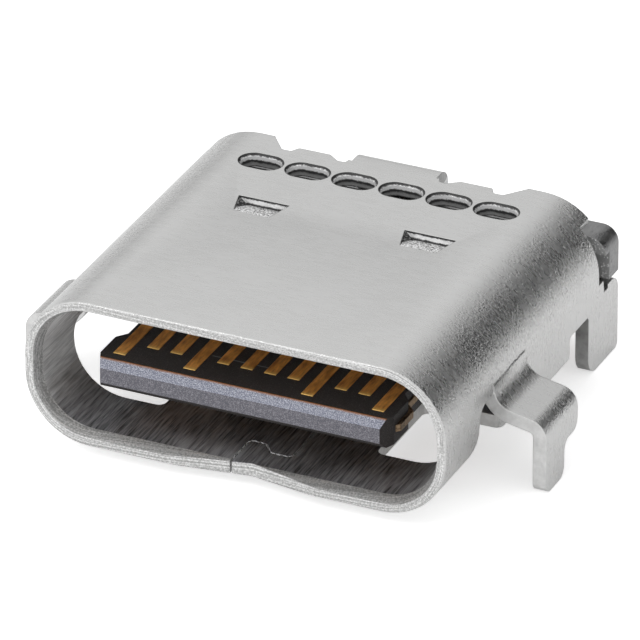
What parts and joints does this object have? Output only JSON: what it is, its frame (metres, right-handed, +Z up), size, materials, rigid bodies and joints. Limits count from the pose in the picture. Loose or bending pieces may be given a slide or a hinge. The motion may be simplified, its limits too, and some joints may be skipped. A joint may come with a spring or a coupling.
{
  "type": "usb-c socket",
  "caption": "Folded metal socket shell with a bevelled tongue of gold contacts, a latch plate, a rear cover and bent legs that solder into the board's slots.",
  "frame": {"origin": "middle of the mouth, in the plane of its rim", "axes": "+X across the mouth, +Y back into the socket, +Z up and away from the board"},
  "size_m": [0.0112, 0.0089, 0.0034],
  "materials": {
    "shell_metal": "satin plated sheet",
    "cover_metal": "dark satin sheet",
    "tongue_moulding": "black glass-filled moulding",
    "carrier_moulding": "black moulding",
    "latch_metal": "stamped sheet with cut edges",
    "ground_metal": "thin satin sheet",
    "contact_gold": "gold plated"
  },
  "bodies": {
    "root": {"shell": "shell_metal", "rear_cover": "cover_metal", "tongue": "tongue_moulding", "upper_carrier": "carrier_moulding", "lower_carrier": "carrier_moulding", "mid_plate": "latch_metal", "upper_ground_plate": "ground_metal", "lower_ground_plate": "ground_metal", "upper_contact_01": "contact_gold", "upper_contact_02": "contact_gold", "upper_contact_03": "contact_gold", "upper_contact_04": "contact_gold", "upper_contact_05": "contact_gold", "upper_contact_06": "contact_gold", "upper_contact_07": "contact_gold", "upper_contact_08": "contact_gold", "upper_contact_09": "contact_gold", "upper_contact_10": "contact_gold", "upper_contact_11": "contact_gold", "upper_contact_12": "contact_gold", "lower_contact_01": "contact_gold", "lower_contact_02": "contact_gold", "lower_contact_03": "contact_gold", "lower_contact_04": "contact_gold", "lower_contact_05": "contact_gold", "lower_contact_06": "contact_gold", "lower_contact_07": "contact_gold", "lower_contact_08": "contact_gold", "lower_contact_09": "contact_gold", "lower_contact_10": "contact_gold", "lower_contact_11": "contact_gold", "lower_contact_12": "contact_gold"}
  },
  "joints": []
}
